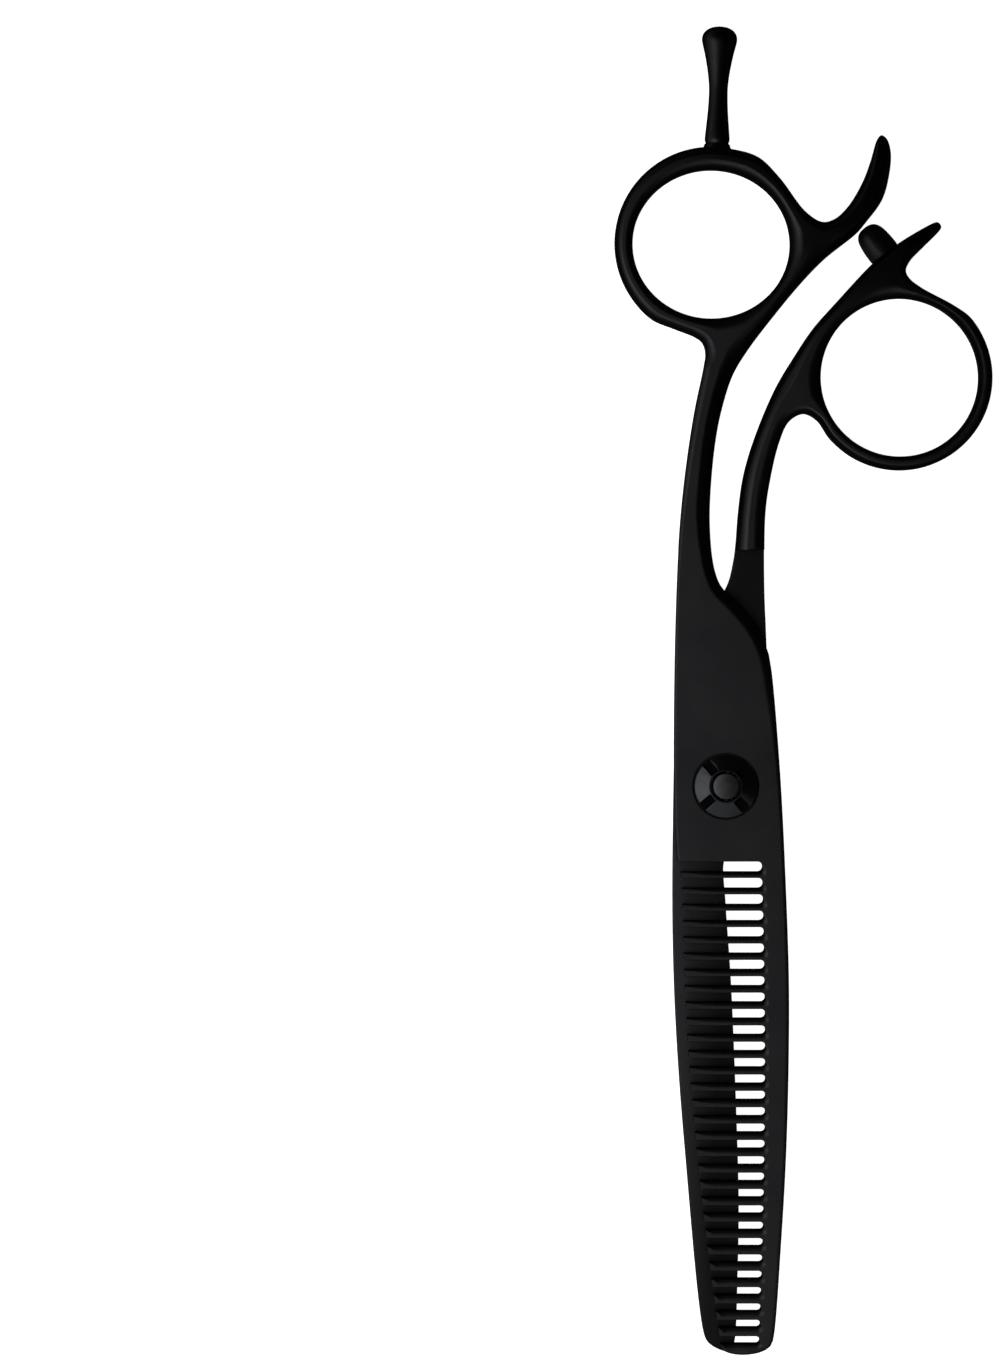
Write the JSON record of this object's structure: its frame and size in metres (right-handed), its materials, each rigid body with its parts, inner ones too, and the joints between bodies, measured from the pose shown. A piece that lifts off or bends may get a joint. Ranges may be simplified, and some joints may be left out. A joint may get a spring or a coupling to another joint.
{
  "type": "thinning shears",
  "caption": "Hairdresser's thinning shears: a toothed comb blade over a plain blade on a dial-tensioned pivot, with offset rings, horns and a finger rest.",
  "frame": {"origin": "pivot axis, at the underside of the bolt head, where the closed shears rest on a table", "axes": "+Z along the pivot axis, away from the table; +Y from the pivot towards the finger ring and the finger rest, with the blades along -Y; +X towards the thumb ring"},
  "size_m": [0.0478, 0.168, 0.0065],
  "materials": {
    "black_steel": "satin",
    "dial_steel": "gloss",
    "bare_steel": "satin",
    "black_rubber": "gloss",
    "white_nylon": "satin"
  },
  "bodies": {
    "finger_side": {"comb_half": "black_steel", "finger_rest": "black_steel", "pivot_bush": "white_nylon", "ride_washer": "white_nylon", "spring_washer": "bare_steel"},
    "thumb_side": {"blade_half": "black_steel", "silencer_bumper": "black_rubber", "silencer_pin": "bare_steel", "pivot_bolt": "dial_steel", "click_washer": "bare_steel"},
    "dial": {"tension_dial": "dial_steel"}
  },
  "joints": [
    {"name": "blade_pivot", "type": "hinge", "parent": "finger_side", "child": "thumb_side", "pos_m": [0, 0, 0.0027], "axis": [0, 0, -1], "range_deg": [0, 90]},
    {"name": "dial_turn", "type": "hinge", "parent": "thumb_side", "child": "dial", "pos_m": [0, 0, 0.0058], "axis": [0, 0, 1], "range_deg": [-90, 90]}
  ]
}
